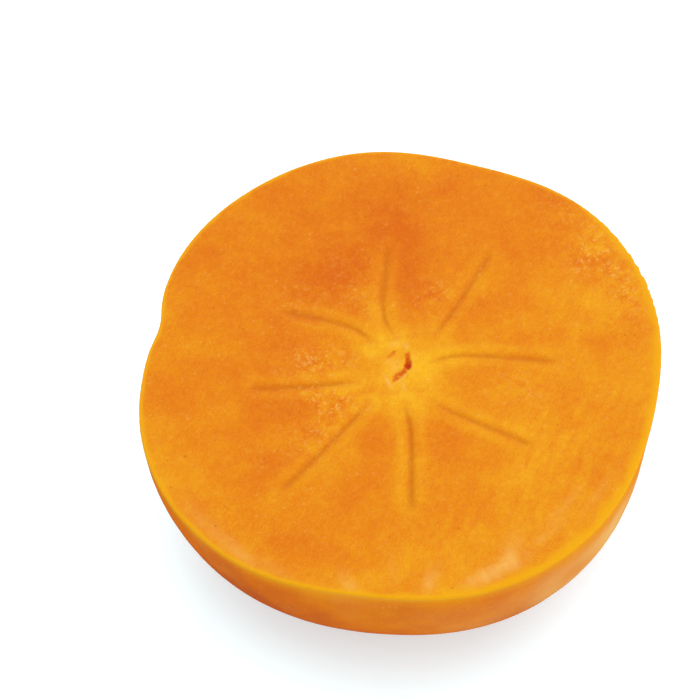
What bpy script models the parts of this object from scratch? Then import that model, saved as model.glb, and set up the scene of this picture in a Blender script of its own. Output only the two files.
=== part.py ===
"""Persimmon half: the blossom end of a round, four-lobed fruit cut across its middle.

It lies with its cut face up and rests on the small flat spot at its blossom end.
Metres, +Z up. The origin is at the centre of the footprint, on the resting plane.
Skin, flesh, core and seed slits grew as one piece, so the model is one closed solid.
"""

import math

import bmesh
import bpy
from mathutils import Matrix, Vector

MM = 0.001

# The rim of the cut face, looking down on it, angles counted from +X towards +Y.
LOBE_RADIUS = 38.9 * MM  # from the fruit's axis to the rim on a full lobe
# The four furrows between the lobes: angle in degrees, depth in mm, spread in degrees.
FURROWS = (
    (67.0, 1.9, 15.0),
    (166.0, 2.1, 14.0),
    (257.0, 1.9, 16.0),
    (342.0, 1.5, 17.0),
)
PLEAT = (162.0, 0.8, 4.0)  # a narrow fold in the skin beside the second furrow, same units

# The side view: a superellipse, widest a little below the cut.
SQUARENESS = 2.5  # exponent of the superellipse, 2 would be a plain ellipse
EQUATOR_DROP = 2.5 * MM  # from the cut face down to the widest section
SHOULDER_HEIGHT = 26.0 * MM  # from the widest section up to where the calyx end would close
DOME_DEPTH = 28.0 * MM  # from the widest section down to where the dome would close
REST_RADIUS = 9.0 * MM  # of the flat spot, measured on a full lobe

# The blossom end: a dimple in the flat spot with the dried stub of the style in it.
DIMPLE_RADIUS = 3.6 * MM
DIMPLE_DEPTH = 0.9 * MM
STUB_RADIUS = 0.7 * MM
STUB_HEIGHT = 0.6 * MM

# The empty seed slits in the cut face, one to each eighth of the fruit.
# Angle and radius of the inner end, then of the tip, in degrees and mm.
SEED_SLITS = (
    (9.0, 8.0, -4.0, 22.5),
    (43.0, 7.0, 50.0, 23.0),
    (99.0, 7.0, 90.0, 20.5),
    (124.0, 7.5, 145.0, 19.5),
    (195.0, 7.0, 183.0, 21.5),
    (228.0, 7.5, 225.0, 25.5),
    (274.0, 6.5, 270.0, 23.0),
    (306.0, 8.5, 319.0, 23.5),
)
SLIT_WIDTH = 0.8 * MM
SLIT_DEPTH = 0.45 * MM
CORE_WIDTH = 2.8 * MM  # the small hollow at the fruit's axis
CORE_LENGTH = 4.6 * MM
CORE_DEPTH = 0.7 * MM
CORE_HEADING = 80.0  # angle of the hollow's long way, in degrees

# How finely the round shapes are divided.
STEPS_ROUND = 96
DOME_RINGS = 12
DIMPLE_RINGS = 4
CUTTER_STEPS = 12

FLESH_COLOUR = (0.84, 0.26, 0.014, 1.0)
SKIN_COLOUR = (0.60, 0.18, 0.012, 1.0)


def bell(angle, centre, spread):
    """Height of a bell curve of one at its centre, on angles in degrees."""
    away = (angle - centre + 180.0) % 360.0 - 180.0
    return math.exp(-0.5 * (away / spread) ** 2)


def plan_share(angle):
    """The rim's radius at an angle in degrees, as a share of LOBE_RADIUS."""
    depth = sum(deep * bell(angle, centre, spread) for centre, deep, spread in (*FURROWS, PLEAT))
    return 1.0 - depth * MM / LOBE_RADIUS


def superellipse_radius(height, semi_height):
    """Radius of a full lobe at a height above or below the widest section."""
    return LOBE_RADIUS * (1.0 - (height / semi_height) ** SQUARENESS) ** (1.0 / SQUARENESS)


def superellipse_height(radius, semi_height):
    """Height above or below the widest section at which a full lobe has this radius."""
    return semi_height * (1.0 - (radius / LOBE_RADIUS) ** SQUARENESS) ** (1.0 / SQUARENESS)


REST_DROP = superellipse_height(REST_RADIUS, DOME_DEPTH)  # widest section to resting plane
FACE_HEIGHT = EQUATOR_DROP + REST_DROP


def dome_points():
    """Radius and height of each ring from the widest section down to the flat spot's edge."""
    last_turn = math.asin((REST_DROP / DOME_DEPTH) ** (SQUARENESS / 2.0))
    points = []
    for ring in range(DOME_RINGS + 1):
        turn = last_turn * ring / DOME_RINGS
        radius = LOBE_RADIUS * math.cos(turn) ** (2.0 / SQUARENESS)
        drop = DOME_DEPTH * math.sin(turn) ** (2.0 / SQUARENESS)
        points.append((radius, REST_DROP - drop))
    return points


def dimple_points():
    """Radius and height of each ring from the flat spot's inner edge in to the stub's tip."""
    stub_foot = 1.6 * STUB_RADIUS
    points = []
    for ring in range(DIMPLE_RINGS + 1):
        share = ring / DIMPLE_RINGS
        radius = DIMPLE_RADIUS + (stub_foot - DIMPLE_RADIUS) * share
        rise = DIMPLE_DEPTH * 0.5 * (1.0 - math.cos(math.pi * share))
        points.append((radius, rise))
    points.append((STUB_RADIUS, DIMPLE_DEPTH - 0.3 * STUB_HEIGHT))
    points.append((0.8 * STUB_RADIUS, DIMPLE_DEPTH - STUB_HEIGHT))
    points.append((0.0, DIMPLE_DEPTH - STUB_HEIGHT))
    return points


def make_material(name, colour, roughness):
    """A Principled material with a plain colour and roughness."""
    material = bpy.data.materials.new(name)
    material.use_nodes = True
    shader = material.node_tree.nodes["Principled BSDF"]
    shader.inputs["Base Color"].default_value = colour
    shader.inputs["Roughness"].default_value = roughness
    shader.inputs["Metallic"].default_value = 0.0
    material.diffuse_color = colour
    return material


def add_object(name, bm, materials, parent=None):
    """An object with the bmesh's shape and these materials."""
    mesh = bpy.data.meshes.new(name)
    bm.to_mesh(mesh)
    bm.free()
    for material in materials:
        mesh.materials.append(material)
    piece = bpy.data.objects.new(name, mesh)
    piece.parent = parent
    bpy.context.scene.collection.objects.link(piece)
    return piece


def spin_profile(points):
    """A bmesh turned about Z from (radius, height) points, still open at its top ring."""
    bm = bmesh.new()
    verts = [bm.verts.new((radius, 0.0, height)) for radius, height in points]
    edges = [bm.edges.new(pair) for pair in zip(verts, verts[1:])]
    bmesh.ops.spin(
        bm,
        geom=verts + edges,
        axis=(0.0, 0.0, 1.0),
        cent=(0.0, 0.0, 0.0),
        angle=2.0 * math.pi,
        steps=STEPS_ROUND,
        use_merge=True,
    )
    bmesh.ops.remove_doubles(bm, verts=bm.verts, dist=0.001 * MM)
    return bm


def press_furrows(bm):
    """Draws every ring of the turned body in along the furrows."""
    for vert in bm.verts:
        share = plan_share(math.degrees(math.atan2(vert.co.y, vert.co.x)))
        vert.co.x *= share
        vert.co.y *= share


def close_face(bm, material_index):
    """Closes the open top ring with the flat cut face."""
    rim = [edge for edge in bm.edges if edge.is_boundary]
    faces = bmesh.ops.holes_fill(bm, edges=rim, sides=0)["faces"]
    for face in faces:
        face.material_index = material_index


def footprint_centre(bm):
    """The middle of the body's outline, looking down on it."""
    xs = [vert.co.x for vert in bm.verts]
    ys = [vert.co.y for vert in bm.verts]
    return Vector(((min(xs) + max(xs)) / 2.0, (min(ys) + max(ys)) / 2.0, 0.0))


def make_body(skin, flesh):
    """The whole half: skin-covered dome, flat spot, dimple and cut face."""
    rim_radius = superellipse_radius(EQUATOR_DROP, SHOULDER_HEIGHT)
    profile = [(rim_radius, FACE_HEIGHT), *dome_points(), *dimple_points()]
    bm = spin_profile(profile)
    press_furrows(bm)
    close_face(bm, material_index=1)
    bmesh.ops.recalc_face_normals(bm, faces=bm.faces)
    centre = footprint_centre(bm)
    body = add_object("persimmon_half", bm, (skin, flesh))
    body.location = -centre
    return body


def hollow(body, name, size, place, heading, material):
    """Cuts a boat-shaped hollow of this (length, width, depth) into the cut face."""
    bm = bmesh.new()
    bmesh.ops.create_uvsphere(bm, u_segments=CUTTER_STEPS, v_segments=CUTTER_STEPS, radius=1.0)
    bmesh.ops.rotate(bm, verts=bm.verts, matrix=Matrix.Rotation(math.pi / 2.0, 3, "Y"))
    length, width, depth = size
    bmesh.ops.scale(bm, vec=(length / 2.0, width / 2.0, depth), verts=bm.verts)
    cutter = add_object(name, bm, (material,), parent=body)
    cutter.location = place
    cutter.rotation_euler = (0.0, 0.0, heading)
    cutter.hide_render = True
    cutter.display_type = "WIRE"
    cut = body.modifiers.new(name, "BOOLEAN")
    cut.operation = "DIFFERENCE"
    cut.solver = "EXACT"
    cut.material_mode = "TRANSFER"
    cut.object = cutter


def on_face(angle, radius):
    """The point of the cut face at an angle in degrees and a radius in mm."""
    turn = math.radians(angle)
    return Vector((radius * MM * math.cos(turn), radius * MM * math.sin(turn), FACE_HEIGHT))


def cut_seed_slits(body, flesh):
    """Sinks the eight seed slits into the cut face."""
    for number, (inner_angle, inner_radius, tip_angle, tip_radius) in enumerate(SEED_SLITS, 1):
        inner = on_face(inner_angle, inner_radius)
        tip = on_face(tip_angle, tip_radius)
        run = tip - inner
        hollow(
            body,
            f"seed_slit_{number}",
            (run.length, SLIT_WIDTH, SLIT_DEPTH),
            (inner + tip) / 2.0,
            math.atan2(run.y, run.x),
            flesh,
        )


def main():
    """Clears the scene and builds the persimmon half."""
    for old in list(bpy.data.objects):
        bpy.data.objects.remove(old, do_unlink=True)
    skin = make_material("skin", SKIN_COLOUR, 0.42)
    flesh = make_material("flesh", FLESH_COLOUR, 0.50)
    body = make_body(skin, flesh)
    cut_seed_slits(body, flesh)
    core = (CORE_LENGTH, CORE_WIDTH, CORE_DEPTH)
    hollow(body, "core_hollow", core, on_face(0.0, 0.0), math.radians(CORE_HEADING), flesh)
    body.data.shade_smooth()
    body.data.set_sharp_from_angle(angle=math.radians(40.0))


main()
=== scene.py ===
"""The looks of a persimmon half: moist cut flesh, satin skin and the dried stub of its style.

The half lies dome down with its cut face up, exactly where the frame's solid lies.
Lengths are metres unless a name ends in _MM; bearings are degrees from +X towards +Y.
"""

import logging
import math
from collections.abc import Callable, Sequence
from dataclasses import dataclass, field
from enum import IntEnum

import bmesh
import bpy
import numpy as np
from mathutils import Matrix, Vector


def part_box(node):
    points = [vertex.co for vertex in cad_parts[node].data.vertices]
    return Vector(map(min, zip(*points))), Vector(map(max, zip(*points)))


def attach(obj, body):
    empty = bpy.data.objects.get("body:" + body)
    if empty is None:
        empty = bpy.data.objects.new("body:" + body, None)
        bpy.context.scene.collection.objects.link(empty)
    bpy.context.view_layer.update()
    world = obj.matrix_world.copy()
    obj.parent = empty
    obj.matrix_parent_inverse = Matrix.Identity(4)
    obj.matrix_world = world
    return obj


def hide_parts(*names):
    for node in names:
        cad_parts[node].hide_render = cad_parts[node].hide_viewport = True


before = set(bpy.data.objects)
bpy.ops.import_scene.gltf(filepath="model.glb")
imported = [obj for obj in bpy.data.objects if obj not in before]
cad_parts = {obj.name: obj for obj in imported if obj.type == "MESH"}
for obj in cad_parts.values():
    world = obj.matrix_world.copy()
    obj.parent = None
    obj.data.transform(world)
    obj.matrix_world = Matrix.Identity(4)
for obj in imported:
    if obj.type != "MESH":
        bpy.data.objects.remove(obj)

MM = 0.001
NODE = "persimmon_half"
BODY = "root"
WELD = 0.0002 * MM  # vertices closer than this are one, and rings nearer share a height
CLEARANCE = 0.02 * MM  # the gap that keeps surfaces and boxes from meeting
WAVE_COUNT = 16
WAVE_REACH = 2.2  # a sum of waves seldom passes this times the root of their count
SHORTEST_WAVE = 1.2  # in swells
LONGEST_WAVE = 3.0

log = logging.getLogger("persimmon")
Array = np.ndarray
Socket = bpy.types.NodeSocket
Outputs = bpy.types.NodeOutputs
Pair = tuple[float, float]
Ends = tuple[Pair, Pair]
Colour = tuple[float, float, float, float]


class Surface(IntEnum):
    """The finishes of the fruit, in the order of its material slots."""

    FLESH = 0
    SKIN = 1


# Small helpers for shapes


def smooth_step(low: float, high: float, value: Array) -> Array:
    """A soft ramp from 0 at low to 1 at high, which may also be the lower of the two."""
    share = np.clip((value - low) / (high - low), 0.0, 1.0)
    return share * share * (3.0 - 2.0 * share)


def bell(away: Array, spread: Array | float) -> Array:
    """A bell curve of height one, falling off with distance over this spread."""
    return np.exp(-((away / spread) ** 2))


def polar(bearing: float, radius_mm: float) -> Array:
    """The point at a bearing and a radius from the fruit's axis, as (x, y) in mm."""
    turn = math.radians(bearing)
    return np.array((math.cos(turn), math.sin(turn))) * radius_mm


def turn_from(bearing: float, bearings: Array) -> Array:
    """How far each bearing lies from this one, in degrees, the short way round."""
    return (bearings - bearing + 180.0) % 360.0 - 180.0


def between(start: Pair, end: Pair, value: Array) -> Array:
    """A soft hump: up from 0 to 1 over the start's two values, back down over the end's."""
    return smooth_step(*start, value) * smooth_step(end[1], end[0], value)


def bearings_of(places: Array) -> Array:
    """The bearing of each place from the fruit's axis, in degrees."""
    return np.degrees(np.arctan2(places[:, 1], places[:, 0]))


@dataclass(frozen=True)
class Slope:
    """A soft ramp from nothing at low to its full strength at high."""

    strength: float
    low: float
    high: float

    def over(self, values: Array) -> Array:
        """The ramp's height for each value."""
        return self.strength * smooth_step(self.low, self.high, values)


@dataclass(frozen=True)
class Stretch:
    """A soft stretch of the way round the fruit: bearing and spread in degrees."""

    bearing: float
    spread: float
    strength: float

    def over(self, bearings: Array) -> Array:
        """Its strength at each bearing."""
        return self.strength * bell(turn_from(self.bearing, bearings), self.spread)


@dataclass(frozen=True)
class Swell:
    """Smooth random swells, summed from plane waves; the seed picks their pattern."""

    strength: float
    size: float
    seed: int

    def over(self, points: Array) -> Array:
        """The swells' height.

        Args:
            points: (x, y) or (x, y, z) places, one row each, in the units of the size.

        Returns:
            About minus the strength to plus the strength for each point.
        """
        draw = np.random.default_rng(self.seed)
        total = np.zeros(len(points))
        for _ in range(WAVE_COUNT):
            heading = draw.normal(size=3)
            heading /= np.linalg.norm(heading)
            pitch = self.size * draw.uniform(SHORTEST_WAVE, LONGEST_WAVE)
            phase = draw.uniform(0.0, 2.0 * math.pi)
            along = points @ heading[: points.shape[1]]
            total += np.sin(along * (2.0 * math.pi / pitch) + phase)
        return self.strength * total / (WAVE_REACH * math.sqrt(WAVE_COUNT))


# The fruit's shape


@dataclass(frozen=True)
class Furrow:
    """A furrow down the fruit's side: bearing and spread in degrees, depth in mm.

    Its growth is how much deeper it is on the dome than at the rim, as a share.
    """

    bearing: float
    depth_mm: float
    spread: float
    growth: float = 0.0

    def depth_at(self, bearings: Array, down: Array | float = 0.0) -> Array:
        """The furrow's depth in mm; down is 0 at the rim and 1 well down the dome."""
        away = turn_from(self.bearing, bearings)
        depth = self.depth_mm * (1.0 + self.growth * down)
        return depth * np.exp(-0.5 * (away / self.spread) ** 2)


@dataclass(frozen=True)
class SeedSlit:
    """The closed-up slit of a seed that never grew: three (bearing, radius in mm) points."""

    inner: Pair
    bend: Pair
    tip: Pair
    strength: float = 1.0

    def path(self, rounds: int = 3) -> Array:
        """Points along the slit in mm, its bend rounded by cutting corners some rounds."""
        points = np.array([polar(*self.inner), polar(*self.bend), polar(*self.tip)])
        for _ in range(rounds):
            early = 0.75 * points[:-1] + 0.25 * points[1:]
            late = 0.25 * points[:-1] + 0.75 * points[1:]
            inside = np.stack((early, late), axis=1).reshape(-1, 2)
            points = np.vstack((points[:1], inside[1:-1], points[-1:]))
        return points

    def reach(self, places: Array) -> tuple[Array, Array]:
        """How far places lie from the slit and how far along it.

        Args:
            places: (x, y) places in mm, one row each.

        Returns:
            The distance in mm, and the share of the slit's length, which runs past
            0 and 1 beyond the ends.
        """
        path = self.path()
        runs = np.diff(path, axis=0)
        lengths = np.linalg.norm(runs, axis=1)
        starts = np.concatenate(((0.0,), np.cumsum(lengths)))
        best = np.full(len(places), np.inf)
        share = np.zeros(len(places))
        last = len(runs) - 1
        for index, (start, run, length) in enumerate(zip(path, runs, lengths)):
            along = (places - start) @ run / length**2
            kept = np.clip(along, 0.0, 1.0)
            offset = places - start - kept[:, None] * run
            away = np.hypot(offset[:, 0], offset[:, 1])
            lowest = -np.inf if index == 0 else 0.0
            highest = np.inf if index == last else 1.0
            nearer = away < best
            best[nearer] = away[nearer]
            reached = starts[index] + np.clip(along, lowest, highest) * length
            share[nearer] = reached[nearer] / starts[-1]
        return best, share


@dataclass(frozen=True)
class Patch:
    """A soft round or oval place on the cut face.

    x_mm and y_mm place its middle; length and width are where it has faded to a third.
    """

    x_mm: float
    y_mm: float
    length_mm: float
    width_mm: float
    heading: float = 0.0
    strength: float = 1.0
    crispness: float = 1.0

    def over(self, places: Array) -> Array:
        """Strength of the patch at each (x, y) place in mm."""
        turn = math.radians(self.heading)
        along = np.array((math.cos(turn), math.sin(turn)))
        across = np.array((-along[1], along[0]))
        offset = places - (self.x_mm, self.y_mm)
        reach = np.hypot(offset @ along / self.length_mm, offset @ across / self.width_mm)
        return self.strength * np.exp(-(reach ** (2.0 * self.crispness)))


def summed(parts: Sequence[Patch | Stretch | Swell], places: Array) -> Array:
    """The strength of several patches, stretches or swells together at each place."""
    return sum(part.over(places) for part in parts)


@dataclass
class FruitForm:
    """The outer form of the half: plan outline, side view, flat spot and blossom end."""

    lobe_radius: float = 38.9 * MM
    furrows: tuple[Furrow, ...] = (
        Furrow(67, 1.9, 15),
        Furrow(166, 2.1, 14),
        Furrow(257, 1.9, 16, -0.40),
        Furrow(342, 1.5, 17, 0.35),
        Furrow(162, 0.8, 4),
    )
    squareness: float = 2.5
    equator_drop: float = 2.5 * MM
    shoulder_height: float = 26.0 * MM
    dome_depth: float = 28.0 * MM
    rest_radius: float = 9.0 * MM
    dimple_radius: float = 3.6 * MM
    dimple_depth: float = 0.9 * MM
    stub_radius: float = 0.7 * MM
    stub_height: float = 0.6 * MM
    cut_edge_radius: float = 0.28 * MM
    relief_room: float = 0.12 * MM  # the cut face lies this far below the frame's top
    steps_round: int = 700
    sectors: int = 20  # the body is turned as this many equal sectors, welded together
    height: float = field(init=False)

    def __post_init__(self) -> None:
        """Takes the height from the frame's solid."""
        low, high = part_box(NODE)
        self.height = high.z - low.z

    def plan_share(self, bearings: Array, down: Array | float = 0.0) -> Array:
        """The outline's radius as a share of a full lobe's; down is 0 at the rim."""
        depth = sum(furrow.depth_at(bearings, down) for furrow in self.furrows)
        return 1.0 - depth * MM / self.lobe_radius

    def radius_at(self, height: float, semi_height: float) -> float:
        """A full lobe's radius at a height above or below the widest section."""
        share = 1.0 - (height / semi_height) ** self.squareness
        return self.lobe_radius * share ** (1.0 / self.squareness)

    def face_rings(self) -> list[Pair]:
        """Rings of the cut face from its middle out, closest where the detail is finest."""
        level = self.height - self.relief_room
        edge = self.rim_radius() - self.cut_edge_radius
        spans = (
            (0.0, 4.0 * MM, 20),
            (4.0 * MM, 27.0 * MM, 50),
            (27.0 * MM, edge - 1.2 * MM, 12),
            (edge - 1.2 * MM, edge, 5),
        )
        rings = []
        for start, end, count in spans:
            rings += [(start + (end - start) * k / count, level) for k in range(count)]
        return [*rings, (edge, level)]

    def rim_radius(self) -> float:
        """A full lobe's radius at the cut."""
        return self.radius_at(self.equator_drop, self.shoulder_height)

    def edge_rings(self, count: int = 4) -> list[Pair]:
        """The small round over the cut edge, from the face over to the skin."""
        level = self.height - self.relief_room
        middle = self.rim_radius() - self.cut_edge_radius
        rings = []
        for ring in range(1, count + 1):
            turn = 0.5 * math.pi * ring / count
            radius = middle + self.cut_edge_radius * math.sin(turn)
            rings.append((radius, level - self.cut_edge_radius * (1.0 - math.cos(turn))))
        return rings

    def dome_rings(self, count: int = 27) -> list[Pair]:
        """The dome from its widest section down to the edge of the flat spot."""
        widest = self.height - self.equator_drop
        last_turn = math.asin((widest / self.dome_depth) ** (self.squareness / 2.0))
        rings = [(self.lobe_radius * 0.9995, widest + 0.5 * self.equator_drop)]
        for ring in range(count + 1):
            turn = last_turn * ring / count
            radius = self.lobe_radius * math.cos(turn) ** (2.0 / self.squareness)
            drop = self.dome_depth * math.sin(turn) ** (2.0 / self.squareness)
            rings.append((radius, max(widest - drop, 0.0)))
        return rings

    def blossom_rings(self, count: int = 10) -> list[Pair]:
        """The dimple in the flat spot and the dried stub inside it, in to the axis."""
        foot = 1.6 * self.stub_radius
        tip = self.dimple_depth - self.stub_height
        rings = [(0.5 * (self.rest_radius + self.dimple_radius), 0.0)]
        for ring in range(count + 1):
            share = ring / count
            radius = self.dimple_radius + (foot - self.dimple_radius) * share
            rings.append((radius, self.dimple_depth * 0.5 * (1.0 - math.cos(math.pi * share))))
        rings.append((1.2 * self.stub_radius, self.dimple_depth))
        rings.append((self.stub_radius, self.dimple_depth - 0.25 * self.stub_height))
        rings.append((0.9 * self.stub_radius, self.dimple_depth - 0.7 * self.stub_height))
        rings.append((0.6 * self.stub_radius, tip))
        rings.append((0.0, tip + 0.1 * self.stub_height))
        return rings

    def profile(self) -> list[Pair]:
        """(radius, height) of every ring, from the face's middle round to the stub's tip."""
        return [*self.face_rings(), *self.edge_rings(), *self.dome_rings(), *self.blossom_rings()]

    def turned(self) -> bmesh.types.BMesh:
        """The closed round body before its furrows are pressed in.

        Returns:
            A bmesh with its faces pointing out and each face's finish set.
        """
        bm = bmesh.new()
        verts = [bm.verts.new((radius, 0.0, height)) for radius, height in self.profile()]
        edges = [bm.edges.new(pair) for pair in zip(verts, verts[1:])]
        spin = {"axis": (0.0, 0.0, 1.0), "cent": (0.0, 0.0, 0.0)}
        sector = 2.0 * math.pi / self.sectors
        steps = self.steps_round // self.sectors
        bmesh.ops.spin(bm, geom=verts + edges, angle=sector, steps=steps, **spin)
        bmesh.ops.spin(
            bm,
            geom=[*bm.verts, *bm.edges, *bm.faces],
            angle=2.0 * math.pi - sector,
            steps=self.sectors - 1,
            use_duplicate=True,
            **spin,
        )
        bmesh.ops.remove_doubles(bm, verts=bm.verts, dist=WELD)
        bmesh.ops.recalc_face_normals(bm, faces=bm.faces)
        split = self.height - self.relief_room - 0.5 * self.cut_edge_radius
        for face in bm.faces:
            face.smooth = True
            above = face.calc_center_median().z > split
            face.material_index = Surface.FLESH if above else Surface.SKIN
        return bm


# The cut face


@dataclass
class CutFace:
    """Everything that shows on the cut: seed slits, core, tone, wet places and painted highlights.
    """

    slits: tuple[SeedSlit, ...] = (
        SeedSlit((2, 4), (10, 8.4), (-4, 22.5), 0.9),
        SeedSlit((41, 7), (43.8, 11), (50, 23.4), 0.8),
        SeedSlit((91, 5.3), (103, 9.2), (90, 20.3), 0.8),
        SeedSlit((129, 5.6), (126, 9.4), (144.5, 19.8), 0.9),
        SeedSlit((194.5, 6.5), (187.5, 14), (182.6, 21.8), 1),
        SeedSlit((228.5, 7.5), (226.5, 16.7), (225, 25.8), 0.9),
        SeedSlit((271, 6), (275.5, 10), (269.3, 23.1), 1.1),
        SeedSlit((303, 7.8), (313.5, 13.5), (319.8, 23.2), 0.8),
    )
    slit_widths_mm: Pair = (0.315, 0.525)  # at the inner end and the tip
    slit_ends: Ends = ((-0.05, 0.20), (0.92, 1.06))  # shares of the length
    slit_depth_mm: float = 0.20
    lip_offset_mm: float = 1.5
    lip_width_mm: float = 0.7
    lip_ends: Ends = ((0.0, 0.2), (0.9, 1.1))
    lip_height_mm: float = 0.06
    lip_tone: float = 0.24
    lip_streaks: Swell = Swell(0.20, 3, 14200)
    lip_wander: Swell = Swell(0.3, 5, 3700)
    arm_width_mm: float = 1.9
    arm_tone: float = 0.22
    arm_ends: Ends = ((-0.5, 0.0), (0.55, 1.28))

    # The yellow of the core, the clouds of the flesh, its slow drifts and its bumps.
    core_tone: float = 0.80
    core_reach_mm: float = 5.6
    core_wander: Swell = Swell(1.6, 5, 3700)
    core_crispness: float = 2.4
    core_halo: Slope = Slope(0.22, 13, 5)
    clouds: tuple[Swell, ...] = (Swell(0.18, 9, 11300), Swell(0.20, 3.2, 5100))
    fleck_clouds: Swell = Swell(0.42, 1.1, 6600)
    rim_tone: float = 0.32
    rim_reach_mm: float = 2.2
    drifts: tuple[tuple[Slope, Pair], ...] = (
        (Slope(0.12, -10, 30), (1, -1)),
        (Slope(0.13, 0, 30), (1, -0.4)),
        (Slope(-0.12, 8, 26), (0, 1)),
    )
    bumps: tuple[Swell, ...] = (
        Swell(0.03, 7, 1900), Swell(0.012, 1.6, 8300),
        Swell(0.006, 0.6, 2200),
    )
    fleck_bumps: Swell = Swell(0.035, 0.7, 12900)

    # How wet places show, with a painted highlight, and the thin line of skin that shows round the
    # cut.
    wet_painted_highlight: float = 0.75
    wet_highlight_swell: Swell = Swell(0.55, 0.8, 7700)
    line: Slope = Slope(0.85, 2.6, 0.6)  # in widths of the line
    line_width_mm: float = 0.34
    line_widths: tuple[Stretch, ...] = (
        Stretch(305, 38, 0.50), Stretch(8, 24, 0.30),
        Stretch(76, 24, -0.16),
    )
    line_wander: Swell = Swell(0.55, 2.4, 9900)

    # The hollow core: an oval hollow, its stains and the pale skins round it.
    core: Patch = Patch(0.1, 0, 2.4, 1.5, 80, crispness=2)
    core_depth_mm: float = 0.35
    pit_depth_mm: float = 0.25  # of the darkest stain, in the hollow's floor
    pale_height_mm: float = 0.10
    stains: tuple[Patch, ...] = (
        Patch(1.38, 0.42, 0.86, 0.54, 92, 1, 1.6),
        Patch(1.42, 1.90, 0.72, 0.52, 92, 0.46, 1.6),
        Patch(-0.25, -1.33, 0.95, 0.70, 35, 0.50, 1.1),
        Patch(-0.85, -2.10, 0.80, 0.28, 58, 0.26, 1),
        Patch(0.67, -0.60, 0.62, 0.46, 45, 0.48, 1.2),
        Patch(-0.83, 2.30, 1.05, 0.40, 40, 0.46, 1.4),
        Patch(-0.17, 0.67, 0.45, 0.32, 20, 0.24, 1),
        Patch(0.30, -0.20, 0.90, 0.70, 60, 0.12, 1),
        Patch(0.50, -2.55, 0.34, 0.14, 5, 0.30, 1),
    )
    pales: tuple[Patch, ...] = (
        Patch(-0.25, 4, 0.7, 0.45, 20, 0.45), Patch(1.35, 3.4, 0.35, 0.55, 0, 0.55),
        Patch(0.42, -3.2, 0.25, 0.8, 8, 0.6), Patch(-1.75, -2.3, 1.2, 0.28, 110, 0.75),
        Patch(0.30, -1.60, 1.2, 0.20, 42, 0.80), Patch(-1.45, 1.5, 0.8, 0.20, 50, 0.45),
        Patch(-0.45, 0.35, 1.3, 0.80, 80, 0.40), Patch(2.05, 0.6, 1.2, 0.20, 85, 0.35),
    )

    # Slightly redder places in the flesh, then places thick with pale flecks, which are painted
    # glints.
    blushes: tuple[Patch, ...] = (
        Patch(-12.5, 13, 7, 4.5, 30, 0.34), Patch(-6, 10, 3.4, 2, -30, 0.36),
        Patch(-5.5, 18.5, 4.5, 3.5, 90, 0.30), Patch(-16, -5.5, 3.4, 2.4, 0, 0.34),
        Patch(-16.5, 6.5, 4.5, 2.8, 0, 0.30), Patch(2.5, 15, 2.2, 6, 0, 0.34),
        Patch(13, 9.5, 4, 2.4, 40, 0.26), Patch(14, 2.6, 4.5, 1.6, -5, 0.20),
        Patch(6.5, -14, 4.4, 4, 0, 0.22), Patch(-4.5, -13, 2.2, 4, 0, 0.18),
        Patch(-20, -15, 5, 3, 30, 0.22), Patch(-10, 24, 15, 10, 20, 0.30),
        Patch(7, 22, 12, 9, 0, 0.16),
    )
    fleck_places: tuple[Patch, ...] = (
        Patch(-11.5, 2.2, 5, 2.6, 0, 1), Patch(-11, -4, 5, 2, -20, 1),
        Patch(-12.5, -9, 5.5, 2.6, 45, 0.8), Patch(6, 11, 4.5, 2.8, 45, 0.7),
        Patch(33.5, 10, 2, 6.5, 15, 1.1), Patch(29.5, 16.5, 4.5, 3, 60, 1.1),
        Patch(26, 24, 3.5, 2, 130, 0.7), Patch(17.5, -5, 4, 2.2, -20, 0.6),
        Patch(-5, 14, 2.6, 6, 20, 0.5), Patch(-14, 12, 6, 5, 30, 0.35),
    )
    streak_places: tuple[Patch, ...] = (
        Patch(22, -17, 13, 9, 50, 1), Patch(3, -27, 11, 5, 0, 0.5),
        Patch(30, 6, 5, 12, 0, 0.5),
    )
    # Wet places: less rough, and painted paler as highlights.
    wet_places: tuple[Patch, ...] = (
        Patch(-9.8, -33.9, 2, 0.8, 120, 0.70), Patch(1.4, -34.8, 2.3, 0.9, 60, 0.60),
        Patch(10.2, -34.4, 4.6, 1.2, 22, 1.00, 1.5), Patch(12.9, -31.6, 2.8, 1.2, 62, 0.60),
        Patch(18, -29.6, 3.5, 0.6, 38, 0.30), Patch(20.8, -25.6, 4.5, 0.7, 48, 0.28),
        Patch(26.4, -23.4, 5, 0.6, 52, 0.24), Patch(-24.6, -27.6, 4.5, 0.9, -48, 0.35),
        Patch(-3.5, -32.5, 2, 0.6, 95, 0.22), Patch(-28.8, -22.8, 6, 1.3, -52, 0.28),
        Patch(-20, -30.4, 4, 0.9, -36, 0.24),
    )

    def tone(self, places: Array, depth: Array) -> Array:
        """How yellow the flesh is.

        Args:
            places: (x, y) places in mm.
            depth: distance in from the cut edge of the skin, in mm.

        Returns:
            About 1 at the yellow core, 0 in plain orange flesh and -1 where reddest.
        """
        radius = np.linalg.norm(places, axis=1)
        reach = self.core_reach_mm + self.core_wander.over(places)
        tone = self.core_tone * np.exp(-((radius / reach) ** self.core_crispness))
        tone += self.core_halo.over(radius) + self.slit_tone(places)
        tone += summed(self.clouds, places) - summed(self.blushes, places)
        tone += summed(self.fleck_places, places) * self.fleck_clouds.over(places)
        tone += self.rim_tone * np.exp(-depth / self.rim_reach_mm)
        for slope, way in self.drifts:
            tone += slope.over(places @ way)
        return tone

    def slit_tone(self, places: Array) -> Array:
        """How much yellower the flesh is along the slits and on their lips."""
        offset = self.lip_offset_mm + self.lip_wander.over(places)
        lip_tone = self.lip_tone + self.lip_streaks.over(places)
        return self.along_slits(
            places,
            self.arm_ends,
            lambda away, along: self.arm_tone * bell(away, self.arm_width_mm)
            + lip_tone * bell(away - offset, self.lip_width_mm),
        )

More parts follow.
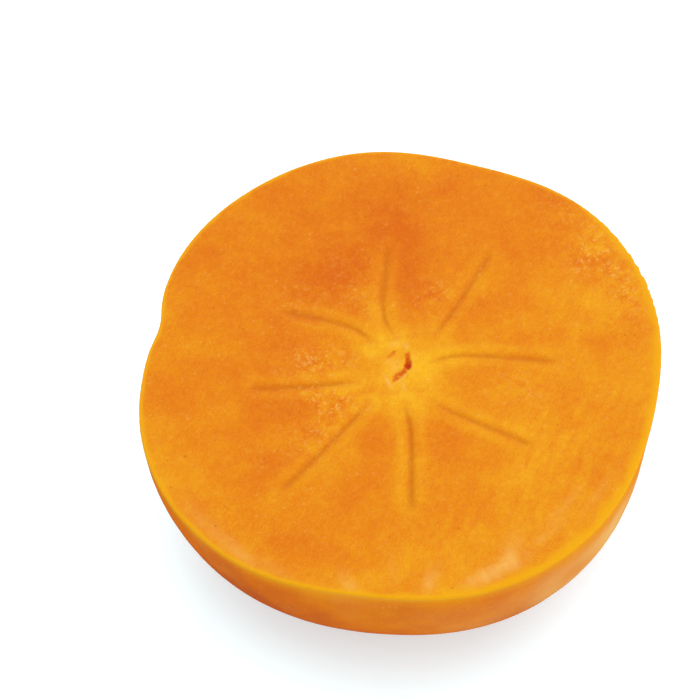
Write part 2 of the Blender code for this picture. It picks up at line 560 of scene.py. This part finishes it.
    def creases(self, places: Array) -> Array:
        """Depth of the seed slits at each place, from 0 to about 1."""
        return self.along_slits(
            places,
            self.slit_ends,
            lambda away, along: bell(away, np.interp(along, (0.0, 1.0), self.slit_widths_mm)),
        )

    def lips(self, places: Array) -> Array:
        """Height of the low swellings that run beside the slits, from 0 to about 1."""
        return self.along_slits(
            places,
            self.lip_ends,
            lambda away, along: bell(away - self.lip_offset_mm, self.lip_width_mm),
        )

    def along_slits(self, places: Array, ends: Ends, across: Callable) -> Array:
        """Sweeps a profile along every slit.

        Args:
            places: (x, y) places in mm.
            ends: where it rises and where it fades, in shares of the slit's length.
            across: gives the profile from the distance away and the share along.

        Returns:
            The slits' sum at each place.
        """
        total = np.zeros(len(places))
        for slit in self.slits:
            away, along = slit.reach(places)
            total += slit.strength * across(away, along) * between(*ends, along)
        return total

    def relief(self, places: Array) -> Array:
        """How far the cut face stands above its own level, in mm."""
        height = summed(self.bumps, places)
        height -= self.slit_depth_mm * self.creases(places)
        height += self.lip_height_mm * self.lips(places)
        height -= self.core_depth_mm * self.core.over(places)
        height -= self.pit_depth_mm * self.stains[0].over(places)
        height += self.pale_height_mm * summed(self.pales, places)
        height += summed(self.fleck_places, places) * self.fleck_bumps.over(places)
        return height

    def skin_line(self, places: Array, inward: Array) -> Array:
        """How much of the cut skin's yellow line shows this far in from the cut edge."""
        width = self.line_width_mm + summed(self.line_widths, bearings_of(places))
        width *= 1.0 + self.line_wander.over(places)
        return self.line.over(inward / width)

    def painted(self, places: Array, inward: Array) -> dict[str, Array]:
        """The values of the attributes that the flesh's finish reads.

        Args:
            places: (x, y) places in mm.
            inward: distance in from the cut edge of a plain round fruit, in mm.

        Returns:
            Each attribute's values, by its name.
        """
        wet = summed(self.wet_places, places)
        highlight_strength = self.wet_painted_highlight + self.wet_highlight_swell.over(places)
        return {
            "tone": self.tone(places, np.maximum(inward, 0.0)),
            "crease": self.creases(places),
            "stain": summed(self.stains, places),
            "wet": wet,
            # The core's own pale skins, plus painted highlights on the wet places.
            "pale_and_highlight": summed(self.pales, places) + wet * highlight_strength,
            "fleck": summed(self.fleck_places, places),
            "streak": summed(self.streak_places, places),
            "skin_line": self.skin_line(places, inward),
        }


@dataclass
class Skin:
    """Skin tone round the fruit and by drop below the cut in mm, painted light and shade included.
    """

    form: FruitForm
    plain_tone: float = -0.30
    furrow_tone: float = 0.175  # per mm of furrow
    # Painted shade: lighter from the flat spot up towards the cut.
    painted_height_shade: float = 0.30  # from the flat spot up to the cut
    near_cut: Slope = Slope(0.70, 4, 0)
    # Painted shade: darker low down, most of all towards bearing 245.
    painted_low_shade: Slope = Slope(-0.30, 5, 15)
    painted_shade_front: Stretch = Stretch(245, 60, 1)
    # Painted light and shade: lighter towards bearing 320, darker towards bearing 225.
    painted_side_light: tuple[Stretch, ...] = (Stretch(320, 35, 0.30), Stretch(225, 30, -0.30))
    line: Slope = Slope(0.6, 1.6, 0.3)
    # Painted sheen: a paler patch a little below the cut near bearing 322, patchy like wax.
    bloom_and_painted_sheen: Stretch = Stretch(322, 34, 0.62)
    painted_sheen_band: Ends = ((0.5, 6.0), (11.0, 20.0))
    painted_sheen_share: float = 0.8
    painted_sheen_patches: Swell = Swell(0.6, 5 * MM, 15300)
    dry_reach: Pair = (1.9, 1.1)  # in radii of the stub, from fresh to dry

    def painted(self, points: Array) -> dict[str, Array]:
        """The skin's attributes by name, for its vertices as they were turned."""
        form = self.form
        bearings = bearings_of(points)
        height = points[:, 2]
        drop = (form.height - height) / MM
        furrow_mm = (1.0 - form.plan_share(bearings)) * form.lobe_radius / MM
        tone = self.plain_tone + self.furrow_tone * furrow_mm
        # Painted light and shade: lighter up high and towards bearing 320, darker low down and
        # towards bearings 225 and 245.
        tone += self.painted_height_shade * height / form.height + self.near_cut.over(drop)
        tone += self.painted_low_shade.over(drop) * (1.0 + self.painted_shade_front.over(bearings))
        tone += summed(self.painted_side_light, bearings)
        fresh, dried = (reach * form.stub_radius for reach in self.dry_reach)
        dry = smooth_step(fresh, dried, np.hypot(points[:, 0], points[:, 1]))
        # Painted sheen near bearing 322, its strength patchy.
        wax_and_painted_sheen = self.painted_sheen_share + self.painted_sheen_patches.over(points)
        return {
            "tone": tone,
            "skin_line": self.line.over(drop),
            "dry": dry * (height < 0.5 * form.height),
            "bloom_and_painted_sheen": self.bloom_and_painted_sheen.over(bearings) * between(*self.painted_sheen_band, drop) * wax_and_painted_sheen,
        }


# Shader building blocks

STUDIO_LIGHT = 1.50  # how bright a white surface looks when it lies in the studio
GLOSS = 0.0082  # what the gloss adds to every colour

# Places of a colour Mix node's sockets, whose names repeat for its other kinds of data.
MIX_AMOUNT = 0
MIX_UNDER = 6
MIX_OVER = 7
MIX_RESULT = 2


def lit(red: int, green: int, blue: int) -> Colour:
    """The surface colour that looks like this on a screen once the studio lights it.

    Args:
        red: the red seen, as a screen value of 0 to 255.
        green: the green seen.
        blue: the blue seen.

    Returns:
        The linear colour for a shader, less what the light and the gloss add.
    """

    def surface(value: int) -> float:
        """One channel, from the screen's curve to the surface's own linear colour."""
        share = value / 255.0
        seen = share / 12.92 if share <= 0.04045 else ((share + 0.055) / 1.055) ** 2.4
        return max(seen / STUDIO_LIGHT - GLOSS, 0.0005)

    return (surface(red), surface(green), surface(blue), 1.0)


class Bench:
    """Short-hand for laying nodes out in one tree."""

    def __init__(self, tree: bpy.types.NodeTree) -> None:
        """Keeps the tree that the nodes go into."""
        self.tree = tree

    def feed(self, sockets: bpy.types.NodeInputs, values: dict) -> None:
        """Links each of these sockets to an output, or sets its value."""
        for name, value in values.items():
            if isinstance(value, Socket):
                self.tree.links.new(value, sockets[name])
            else:
                sockets[name].default_value = value

    def node(self, kind: str, values: dict | None = None, **settings: object) -> bpy.types.Node:
        """Adds one node, sets its properties and feeds its sockets."""
        made = self.tree.nodes.new(kind)
        for name, setting in settings.items():
            setattr(made, name, setting)
        self.feed(made.inputs, values or {})
        return made

    def place(self) -> Socket:
        """The piece's own coordinates."""
        return self.node("ShaderNodeTexCoord").outputs["Object"]

    def painted(self, name: str) -> Socket:
        """The value of one of the mesh's own attributes."""
        return self.node("ShaderNodeAttribute", attribute_name=name).outputs["Fac"]

    def math(self, operation: str, first: object, second: object) -> Socket:
        """One sum on two values."""
        return self.node("ShaderNodeMath", {0: first, 1: second}, operation=operation).outputs[0]

    def plus(self, first: object, *others: object) -> Socket:
        """Adds up its values."""
        for other in others:
            first = self.math("ADD", first, other)
        return first

    def times(self, first: object, second: object) -> Socket:
        """Two values multiplied."""
        return self.math("MULTIPLY", first, second)

    def swing(self, value: object, strength: object) -> Socket:
        """A 0 to 1 value turned into one that swings either side of 0, at this strength."""
        return self.times(self.math("SUBTRACT", value, 0.5), strength)

    def ramp(self, value: object, low: float, high: float) -> Socket:
        """A soft ramp from 0 at low to 1 at high."""
        values = {"Value": value, "From Min": low, "From Max": high}
        made = self.node("ShaderNodeMapRange", values, interpolation_type="SMOOTHSTEP")
        return made.outputs["Result"]

    def mix(self, amount: object, under: object, over: object) -> Socket:
        """Lays one colour over another."""
        values = {MIX_AMOUNT: amount, MIX_UNDER: under, MIX_OVER: over}
        return self.node("ShaderNodeMix", values, data_type="RGBA").outputs[MIX_RESULT]

    def noise(
        self,
        size_mm: float,
        detail: float = 2.0,
        shift: float = 0.0,
        slimness: float = 1.0,
        heading: float = 0.0,
    ) -> Socket:
        """Cloudy or streaky noise of about 0 to 1, in the piece's own coordinates.

        Args:
            size_mm: width of its swells.
            detail: how many finer layers it has.
            shift: moves the pattern, in swells, so that two noises differ.
            slimness: how many times longer than wide its swells are.
            heading: which way long swells run, in degrees from +X.

        Returns:
            The noise's value.
        """
        size = size_mm * MM
        values = {
            "Vector": self.place(),
            "Location": Vector((1.0, 0.7, 0.3)) * (-shift * size),
            "Rotation": (0.0, 0.0, math.radians(heading)),
            "Scale": (slimness * size, size, size),
        }
        moved = self.node("ShaderNodeMapping", values, vector_type="TEXTURE").outputs["Vector"]
        values = {"Vector": moved, "Scale": 1.0, "Detail": detail}
        return self.node("ShaderNodeTexNoise", values).outputs["Fac"]

    def bands(self, value: object, stops: Sequence[tuple[float, tuple]]) -> Socket:
        """A colour read off a strip of named stops.

        Args:
            value: where on the strip, 0 to 1.
            stops: (place, colour) pairs, lowest first.

        Returns:
            The colour there.
        """
        made = self.node("ShaderNodeValToRGB", {"Fac": value})
        strip = made.color_ramp.elements
        while len(strip) < len(stops):
            strip.new(1.0)
        for element, (place, colour) in zip(strip, stops):
            element.position = place
            element.color = colour
        return made.outputs["Color"]


class Group:
    """A node group that the finishes share; each kind names its ports and lays its nodes."""

    name = "group"
    takes: tuple[str, ...] = ()
    gives: tuple[str, ...] = ()

    def __init__(self) -> None:
        """Builds the group once."""
        self.tree = bpy.data.node_groups.new(self.name, "ShaderNodeTree")
        for way, ports in (("INPUT", self.takes), ("OUTPUT", self.gives)):
            for port in ports:
                self.tree.interface.new_socket(port, in_out=way, socket_type="NodeSocketFloat")
        bench = Bench(self.tree)
        given = bench.node("NodeGroupInput").outputs
        bench.node("NodeGroupOutput", dict(zip(self.gives, self.lay(bench, given))))

    def lay(self, bench: Bench, given: Outputs) -> tuple[object, ...]:
        """Lays the nodes that turn what the group takes into what it gives, in order."""
        raise NotImplementedError

    def place(self, bench: Bench, **values: float) -> Outputs:
        """Places the group in a material, with a value for each port by its lower-case name."""
        given = {port: values[port.lower()] for port in self.takes}
        return bench.node("ShaderNodeGroup", given, node_tree=self.tree).outputs


class Speckle(Group):
    """Small scattered dots, used as flecks, dark specks and skin pores.

    Its spacing is in metres, its reach is a dot's radius as a share of the spacing, and its
    share is that of the places that hold a dot.
    """

    name = "speckle"
    takes = ("Spacing", "Reach", "Share")
    gives = ("Dots",)
    softness = 0.7  # of a dot's edge, as a share of its radius

    def lay(self, bench: Bench, given: Outputs) -> tuple[object, ...]:
        """Keeps some cells of a scattered pattern, with a dot of its own size in each."""
        per_metre = bench.math("DIVIDE", 1.0, given["Spacing"])
        values = {"Vector": bench.place(), "Scale": per_metre}
        scaled = bench.node("ShaderNodeVectorMath", values, operation="SCALE").outputs["Vector"]
        cells = bench.node("ShaderNodeTexVoronoi", {"Vector": scaled, "Scale": 1.0}).outputs
        chosen = bench.node("ShaderNodeSeparateColor", {"Color": cells["Color"]}).outputs
        kept = bench.math("LESS_THAN", chosen["Red"], given["Share"])
        size = bench.times(given["Reach"], bench.plus(0.5, chosen["Green"]))
        near = bench.math("SUBTRACT", 1.0, bench.math("DIVIDE", cells["Distance"], size))
        return (bench.times(bench.ramp(near, 0.0, self.softness), kept),)


class Mottle(Group):
    """The cloudy, grainy tone of plant tissue, and the height of its grain."""

    name = "mottle"
    takes = ("Grain", "Clouds")
    gives = ("Tone", "Height")
    crumb_strength = 0.6

    def lay(self, bench: Bench, given: Outputs) -> tuple[object, ...]:
        """Adds up fine grain, coarser crumbs and broad clouds."""
        grain = bench.swing(bench.noise(0.26, detail=3.0), 1.0)
        crumbs = bench.swing(bench.noise(0.9, shift=7.0), self.crumb_strength)
        grains = bench.plus(grain, crumbs)
        clouds = bench.swing(bench.noise(4.5, shift=3.0), given["Clouds"])
        return bench.plus(bench.times(grains, given["Grain"]), clouds), grains


# Finishes


@dataclass(frozen=True)
class Finish:
    """What flesh and skin share: tissue, light inside it, fine bumps and a sheen.

    The sheen fades towards the edge of what is seen, as on moist or waxed skin.
    """

    name: str = "tissue"
    grain: float = 1.0
    clouds: float = 0.9
    roughness: float = 0.4
    bump: float = 0.3
    bump_mm: float = 0.05
    glow: float = 0.1  # share of the light that goes in and comes out again
    glow_mm: float = 1.0
    glow_spread: tuple[float, float, float] = (1.0, 0.4, 0.12)
    sheen: float = 0.3
    sheen_fades: Pair = (0.3, 0.8)  # how far edge-on, 0 to 1
    sheen_tint: Colour = (1.0, 1.0, 1.0, 1.0)

    def lay(self, bench: Bench, speckle: Speckle, tissue: Outputs) -> tuple:
        """Lays a surface's own nodes, and returns colour, roughness and bump height."""
        raise NotImplementedError

    def build(self, speckle: Speckle, mottle: Mottle) -> bpy.types.Material:
        """Makes the material.

        Args:
            speckle: the group that scatters dots.
            mottle: the group that gives the tissue's tone.

        Returns:
            The finished material.
        """
        material = bpy.data.materials.new(self.name)
        material.use_nodes = True
        bench = Bench(material.node_tree)
        shader = material.node_tree.nodes["Principled BSDF"].inputs
        tissue = mottle.place(bench, grain=self.grain, clouds=self.clouds)
        colour, rough, height = self.lay(bench, speckle, tissue)
        full, gone = self.sheen_fades
        edge = bench.node("ShaderNodeLayerWeight").outputs["Facing"]
        bump = {"Strength": self.bump, "Distance": self.bump_mm * MM, "Height": height}
        values = {
            "Base Color": colour,
            "Roughness": rough,
            "Normal": bench.node("ShaderNodeBump", bump).outputs["Normal"],
            "Subsurface Weight": self.glow,
            "Subsurface Radius": self.glow_spread,
            "Subsurface Scale": self.glow_mm * MM,
            "Specular IOR Level": bench.times(bench.ramp(edge, gone, full), self.sheen),
            "Specular Tint": self.sheen_tint,
        }
        bench.feed(shader, values)
        return material


@dataclass(frozen=True)
class FleshFinish(Finish):
    """Moist, slightly see-through flesh, from yellow at the core to red-orange in the blushes."""

    name: str = "cut_flesh"
    grain: float = 1.05
    roughness: float = 0.46
    bump: float = 0.35
    bump_mm: float = 0.06
    glow: float = 0.18
    glow_mm: float = 1.2
    sheen: float = 0.24
    sheen_fades: Pair = (0.30, 0.85)
    sheen_tint: Colour = (1.0, 0.62, 0.22, 1.0)

    reddest: Colour = lit(226, 108, 22)
    orange: Colour = lit(237, 138, 32)
    golden: Colour = lit(242, 157, 34)
    yellow: Colour = lit(253, 188, 42)
    crease: Colour = lit(200, 92, 14)
    stain_light: Colour = lit(226, 104, 26)
    stain_dark: Colour = lit(204, 58, 20)
    # Colour of the core's pale skins, and of painted glints and highlights.
    pale_and_highlight: Colour = lit(252, 194, 104)
    speck: Colour = lit(190, 88, 22)
    cut_skin: Colour = lit(247, 178, 22)

    crease_share: float = 0.42
    pale_share: float = 0.72
    speck_share: float = 0.5
    wetness: float = 0.22  # how much less rough wet places are
    rough_swing: float = 0.12

    def lay(self, bench: Bench, speckle: Speckle, tissue: Outputs) -> tuple:
        """Lays the flesh's colour, from its tone up to the line of cut skin."""
        stops = ((0.0, self.reddest), (0.40, self.orange), (0.62, self.golden), (1.0, self.yellow))
        tone = self.tone(bench, tissue)
        colour = bench.bands(bench.times(bench.plus(tone, 0.8), 0.5), stops)
        crease = bench.times(bench.painted("crease"), self.crease_share)
        colour = bench.mix(crease, colour, self.crease)
        # Painted glints and highlights, with the core's own pale skins.
        colour = bench.mix(self.pale_and_glints(bench, speckle), colour, self.pale_and_highlight)
        specks = speckle.place(bench, spacing=1.9 * MM, reach=0.10, share=0.35)["Dots"]
        colour = bench.mix(bench.times(specks, self.speck_share), colour, self.speck)
        patchy = bench.plus(0.1, bench.times(bench.noise(0.5, detail=3.0, shift=31.0), 1.8))
        stain = bench.times(bench.painted("stain"), patchy)
        stained = bench.mix(bench.ramp(stain, 0.5, 1.0), self.stain_light, self.stain_dark)
        colour = bench.mix(bench.ramp(stain, 0.05, 0.6), colour, stained)
        colour = bench.mix(bench.painted("skin_line"), colour, self.cut_skin)

        uneven = bench.times(tissue["Tone"], self.rough_swing)
        wet = bench.times(bench.painted("wet"), -self.wetness)
        return colour, bench.plus(uneven, self.roughness, wet), tissue["Height"]

    def tone(self, bench: Bench, tissue: Outputs) -> Socket:
        """The painted tone, with the tissue's own, fine fibres, broad streaks and lumps."""
        fibres = bench.noise(0.30, slimness=4.0, heading=58.0)
        streaks = bench.noise(1.7, slimness=4.0, heading=62.0)
        lumps = bench.noise(1.4, detail=2.5, shift=17.0)
        return bench.plus(
            bench.painted("tone"),
            tissue["Tone"],
            bench.swing(fibres, 0.5),
            bench.swing(streaks, bench.times(bench.painted("streak"), 1.3)),
            bench.swing(lumps, bench.times(bench.painted("fleck"), 1.7)),
        )

    def pale_and_glints(self, bench: Bench, speckle: Speckle) -> Socket:
        """Paler colour shown: painted glints and wet highlights, core skins and a thin haze."""
        # Painted glints: pale flecks in the fleck places and a few scattered dots.
        glints = bench.ramp(bench.noise(0.55, detail=2.5, shift=13.0), 0.53, 0.70)
        scattered_glints = speckle.place(bench, spacing=1.3 * MM, reach=0.22, share=0.25)["Dots"]
        glints = bench.times(glints, bench.painted("fleck"))
        glints = bench.math("MAXIMUM", glints, bench.times(scattered_glints, 0.4))
        # Painted highlights on wet places, with the core's own pale skins.
        skins_and_highlights = bench.times(bench.painted("pale_and_highlight"), self.pale_share)
        haze = bench.ramp(bench.noise(0.5, detail=3.0, shift=51.0), 0.48, 0.74)
        return bench.plus(bench.times(haze, 0.08), bench.times(glints, 0.5), skins_and_highlights)


@dataclass(frozen=True)
class SkinFinish(Finish):
    """Satin, waxy skin: fine pores, faint wax, a painted sheen and a dry brown blossom end."""

    name: str = "waxy_skin"
    grain: float = 0.7
    roughness: float = 0.33
    bump: float = 0.25
    bump_mm: float = 0.04
    glow: float = 0.08
    sheen: float = 0.50
    sheen_fades: Pair = (0.12, 0.48)
    sheen_tint: Colour = (1.0, 0.72, 0.36, 1.0)

    deep: Colour = lit(206, 98, 52)
    orange: Colour = lit(233, 121, 46)
    golden: Colour = lit(247, 148, 44)
    pore: Colour = lit(250, 184, 96)
    # The paler colour of faint wax and of the painted sheen.
    bloom_and_painted_sheen: Colour = lit(252, 202, 124)
    speck: Colour = lit(120, 62, 24)
    dry: Colour = lit(70, 42, 24)
    cut_skin: Colour = lit(250, 172, 42)

    cloud_tone: float = 1.8
    pore_share: float = 0.40
    speck_share: float = 0.6
    wax_share: float = 0.06
    rough_swing: float = 0.14
    dry_rough: float = 0.4  # how much rougher the dry stub is

    def lay(self, bench: Bench, speckle: Speckle, tissue: Outputs) -> tuple:
        """Lays the skin's colour, from its tone up to the dry stub."""
        clouds = bench.swing(bench.noise(13.0, detail=4.0, shift=21.0), self.cloud_tone)
        # The painted tone holds painted light and shade besides the skin's own tone.
        tone = bench.plus(bench.painted("tone"), tissue["Tone"], clouds)
        strip = bench.times(bench.plus(tone, 1.0), 0.5)
        colour = bench.bands(strip, ((0.1, self.deep), (0.5, self.orange), (0.95, self.golden)))
        pores = speckle.place(bench, spacing=1.0 * MM, reach=0.18, share=0.7)["Dots"]
        colour = bench.mix(bench.times(pores, self.pore_share), colour, self.pore)
        specks = speckle.place(bench, spacing=3.4 * MM, reach=0.055, share=0.4)["Dots"]
        colour = bench.mix(bench.times(specks, self.speck_share), colour, self.speck)
        # Faint wax at random, plus the painted sheen low near bearing 322.
        wax_and_painted_sheen = bench.ramp(bench.noise(8.0, detail=5.0, shift=37.0), 0.42, 0.72)
        wax_and_painted_sheen = bench.plus(bench.times(wax_and_painted_sheen, self.wax_share), bench.painted("bloom_and_painted_sheen"))
        colour = bench.mix(wax_and_painted_sheen, colour, self.bloom_and_painted_sheen)
        colour = bench.mix(bench.painted("skin_line"), colour, self.cut_skin)
        colour = bench.mix(bench.painted("dry"), colour, self.dry)

        uneven = bench.times(bench.noise(2.6, detail=3.0, shift=40.0), self.rough_swing)
        dried = bench.times(bench.painted("dry"), self.dry_rough)
        height = bench.math("SUBTRACT", tissue["Height"], pores)
        return colour, bench.plus(uneven, self.roughness, dried), height


# The fruit


@dataclass
class PersimmonHalf:
    """The whole half as one grown piece: cut flesh above, skin all round below."""

    form: FruitForm = field(default_factory=FruitForm)
    cut: CutFace = field(default_factory=CutFace)
    relief_fades: Pair = (0.3, 2.4)  # mm in from the cut edge, from none to full
    furrow_grows: float = 6.0 * MM  # below the cut, where the furrows' growth is complete
    nicks: Swell = Swell(1, 0.012, 4400)  # its size is in fruit radii
    nick_reach: Slope = Slope(1, 1.2, 0)  # mm in from the cut edge
    nick_depth_mm: float = 0.04
    nick_rough: Stretch = Stretch(18, 13, 0.26)
    ripples: tuple[Swell, ...] = (Swell(0.10, 9 * MM, 6100), Swell(0.03, 2.5 * MM, 2700))
    ripple_sink_mm: float = 0.06
    ripple_start: Pair = (0.2 * MM, 5.0 * MM)  # height above the table
    ripple_end: float = 4.0 * MM  # below the cut
    axis: Vector = field(default_factory=Vector)  # where the face's middle ends up

    def build(self) -> bpy.types.Object:
        """Turns the body, presses its furrows in and works the cut face.

        Returns:
            The fruit's object, at the origin, with its place in its mesh.
        """
        bm = self.form.turned()
        mesh = bpy.data.meshes.new("cut_persimmon")
        bm.to_mesh(mesh)
        bm.free()
        flat = np.zeros(3 * len(mesh.vertices))
        mesh.vertices.foreach_get("co", flat)
        self.shape(mesh, flat.reshape(-1, 3))
        piece = bpy.data.objects.new("cut_persimmon", mesh)
        bpy.context.scene.collection.objects.link(piece)
        return piece

    def shape(self, mesh: bpy.types.Mesh, points: Array) -> None:
        """Moves the mesh's vertices, which lie at these points as turned, and paints them."""
        form = self.form
        level = form.height - form.relief_room
        height = points[:, 2]
        bearings = bearings_of(points)
        down = smooth_step(level, level - self.furrow_grows, height)
        on_face = height > level - form.cut_edge_radius - WELD
        flat_face = height > level - WELD
        inward = (form.rim_radius() - np.hypot(points[:, 0], points[:, 1])) / MM

        shaped = points.copy()
        shaped[:, :2] *= form.plan_share(bearings, down)[:, None]
        places = shaped[:, :2] / MM
        fade = smooth_step(*self.relief_fades, inward[flat_face])
        shaped[flat_face, 2] += MM * self.cut.relief(places[flat_face]) * fade
        self.nick_the_edge(shaped, bearings, inward, on_face)
        self.ripple_the_skin(shaped, points, on_face)
        self.fit(shaped)

        mesh.vertices.foreach_set("co", shaped.ravel())
        mesh.update()
        self.paint(mesh, points, places, inward, on_face)

    def nick_the_edge(
        self, shaped: Array, bearings: Array, inward: Array, on_face: Array
    ) -> None:
        """Gives the cut edge the small nicks that a knife leaves in the skin."""
        turn = np.radians(bearings)
        ring = np.column_stack((np.cos(turn), np.sin(turn)))
        depth_mm = self.nick_depth_mm + self.nick_rough.over(bearings)
        depth_mm *= np.clip(self.nicks.over(ring) + 0.2, 0.0, 1.0)
        depth_mm *= np.where(on_face, self.nick_reach.over(np.abs(inward)), 0.0)
        shaped[:, :2] *= 1.0 - depth_mm[:, None] * MM / self.form.lobe_radius

    def ripple_the_skin(
        self, shaped: Array, points: Array, on_face: Array
    ) -> None:
        """Lets the skin swell and sink a little, as a grown surface does."""
        top = self.form.height
        side = between(self.ripple_start, (top - self.ripple_end, top), points[:, 2])
        rise_mm = side * ~on_face * (summed(self.ripples, points) - self.ripple_sink_mm)
        shaped[:, :2] *= 1.0 + rise_mm[:, None] * MM / self.form.lobe_radius

    def fit(self, shaped: Array) -> None:
        """Centres the fruit on the frame's solid and keeps it just inside its box."""
        low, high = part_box(NODE)
        for axis in range(2):
            least, most = shaped[:, axis].min(), shaped[:, axis].max()
            scale = (high[axis] - low[axis] - CLEARANCE) / (most - least)
            middle = 0.5 * (low[axis] + high[axis])
            shaped[:, axis] = (shaped[:, axis] - 0.5 * (least + most)) * scale + middle
            self.axis[axis] = middle - 0.5 * (least + most) * scale
        shaped[:, 2] = np.clip(shaped[:, 2] + low.z, low.z, high.z)
        self.axis.z = high.z - self.form.relief_room

    def paint(
        self,
        mesh: bpy.types.Mesh,
        points: Array,
        places: Array,
        inward: Array,
        on_face: Array,
    ) -> None:
        """Writes the mesh attributes that the finishes read."""
        face = self.cut.painted(places[on_face], inward[on_face])
        skin = Skin(self.form).painted(points[~on_face])
        for name in dict.fromkeys((*face, *skin)):
            values = np.zeros(len(points), dtype=np.float32)
            values[on_face] = face.get(name, 0.0)
            values[~on_face] = skin.get(name, 0.0)
            mesh.attributes.new(name, "FLOAT", "POINT").data.foreach_set("value", values)

    def dress(self, piece: bpy.types.Object) -> None:
        """Gives the fruit its finishes, in the order of Surface."""
        speckle, mottle = Speckle(), Mottle()
        finishes = {Surface.FLESH: FleshFinish(), Surface.SKIN: SkinFinish()}
        for surface in Surface:
            piece.data.materials.append(finishes[surface].build(speckle, mottle))


# The studio


@dataclass(frozen=True)
class Lamp:
    """A square soft light that faces the fruit: its place, its side and its power in watts."""

    name: str
    place: tuple[float, float, float]
    size: float
    power: float

    def hang(self) -> None:
        """Adds the light to the scene."""
        light = bpy.data.lights.new(self.name, "AREA")
        light.shape = "SQUARE"
        light.size = self.size
        light.energy = self.power
        lamp = bpy.data.objects.new(self.name, light)
        lamp.location = self.place
        lamp.rotation_mode = "QUATERNION"
        lamp.rotation_quaternion = (-Vector(self.place)).to_track_quat("-Z", "Y")
        bpy.context.scene.collection.objects.link(lamp)


@dataclass
class Studio:
    """A plain white table, soft lights and the camera."""

    table_size: float = 6.0
    table_colour: Colour = (0.78, 0.94, 0.98, 1.0)
    table_glow: Colour = (0.90, 0.97, 1.0, 1.0)  # light from below, as on a light table
    table_glow_strength: float = 0.25
    lamps: tuple[Lamp, ...] = (
        Lamp("overhead", (0.20, 0.30, 1.00), 1.4, 7.9),
        Lamp("right_fill", (0.90, -0.45, 0.40), 0.7, 2.1),
    )
    room_light: float = 1.01
    distance: float = 0.42
    tilt: float = 30.5  # degrees between the line of sight and the cut face's normal
    roll: float = 5.6  # degrees
    lens: float = 149.6
    pan: float = 0.96  # degrees the camera turns to its left, then up
    lift: float = 0.34

    def lay_table(self) -> bpy.types.Object:
        """The white surface that the fruit rests on, just clear of its flat spot."""
        bm = bmesh.new()
        bmesh.ops.create_grid(bm, x_segments=1, y_segments=1, size=0.5 * self.table_size)
        bmesh.ops.translate(bm, verts=bm.verts, vec=(0.0, 0.0, -CLEARANCE))
        mesh = bpy.data.meshes.new("table")
        bm.to_mesh(mesh)
        bm.free()
        table = bpy.data.objects.new("table", mesh)
        bpy.context.scene.collection.objects.link(table)
        material = bpy.data.materials.new("white_table")
        material.use_nodes = True
        values = {
            "Base Color": self.table_colour,
            "Emission Color": self.table_glow,
            "Emission Strength": self.table_glow_strength,
            "Roughness": 0.9,
            "Specular IOR Level": 0.1,
        }
        shader = material.node_tree.nodes["Principled BSDF"].inputs
        Bench(material.node_tree).feed(shader, values)
        mesh.materials.append(material)
        return table

    def light_up(self) -> None:
        """Hangs the lights in a white room."""
        for lamp in self.lamps:
            lamp.hang()
        world = bpy.data.worlds.new("room")
        world.use_nodes = True
        background = world.node_tree.nodes["Background"].inputs
        background["Color"].default_value = (1.0, 1.0, 1.0, 1.0)
        background["Strength"].default_value = self.room_light
        bpy.context.scene.world = world

    def set_camera(self, middle: Vector) -> None:
        """Looks down on the middle of the cut face from the front."""
        tilt = math.radians(self.tilt)
        place = middle + self.distance * Vector((0.0, -math.sin(tilt), math.cos(tilt)))
        camera = bpy.data.cameras.new("camera")
        camera.lens = self.lens
        camera.sensor_width = 36.0
        camera.clip_start = 0.01
        holder = bpy.data.objects.new("camera", camera)
        turned = (middle - place).to_track_quat("-Z", "Y").to_matrix().to_4x4()
        for degrees, own_axis in ((-self.roll, "Z"), (self.pan, "Y"), (self.lift, "X")):
            turned @= Matrix.Rotation(math.radians(degrees), 4, own_axis)
        holder.matrix_world = Matrix.Translation(place) @ turned
        bpy.context.scene.collection.objects.link(holder)
        bpy.context.scene.camera = holder
        bpy.context.scene.view_settings.view_transform = "Standard"


def main() -> None:
    """Builds the fruit and the studio, and reports each piece."""
    logging.basicConfig(level=logging.INFO, format="%(name)s: %(message)s")
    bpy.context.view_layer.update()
    half = PersimmonHalf()
    piece = half.build()
    half.dress(piece)
    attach(piece, BODY)
    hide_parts(NODE)
    triangles = sum(len(face.vertices) - 2 for face in piece.data.polygons)
    log.info("%s: %d triangles, rides on %s", piece.name, triangles, BODY)
    studio = Studio()
    studio.lay_table()
    studio.light_up()
    studio.set_camera(half.axis)
    log.info("studio: table, two lights and the camera")


if __name__ == "__main__":
    main()
